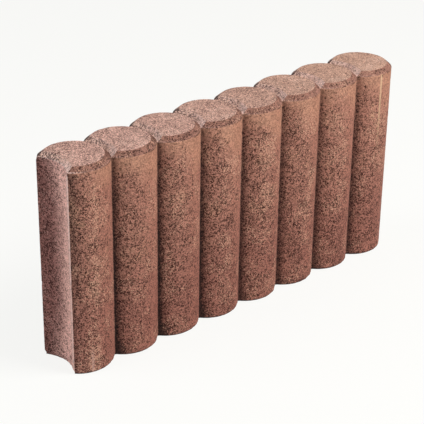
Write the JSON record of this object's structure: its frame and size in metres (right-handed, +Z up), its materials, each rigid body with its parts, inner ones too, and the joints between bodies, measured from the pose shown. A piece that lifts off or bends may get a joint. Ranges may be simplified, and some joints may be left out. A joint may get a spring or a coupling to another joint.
{
  "type": "concrete palisade",
  "caption": "Palisade edging block: a fused row of upright round concrete columns with bevelled tops, a hollow groove at one end and a round column at the other.",
  "frame": {"origin": "centre of the block's bottom face, midway between its ends, on the plane it stands on", "axes": "+X along the row of columns from the grooved end to the round end, +Y through the thickness, +Z up"},
  "size_m": [0.506, 0.08, 0.25],
  "materials": {
    "concrete": "pressed, reddish-brown dyed concrete with a rough, finely pitted surface"
  },
  "bodies": {
    "root": {"palisade_block": "concrete"}
  },
  "joints": []
}
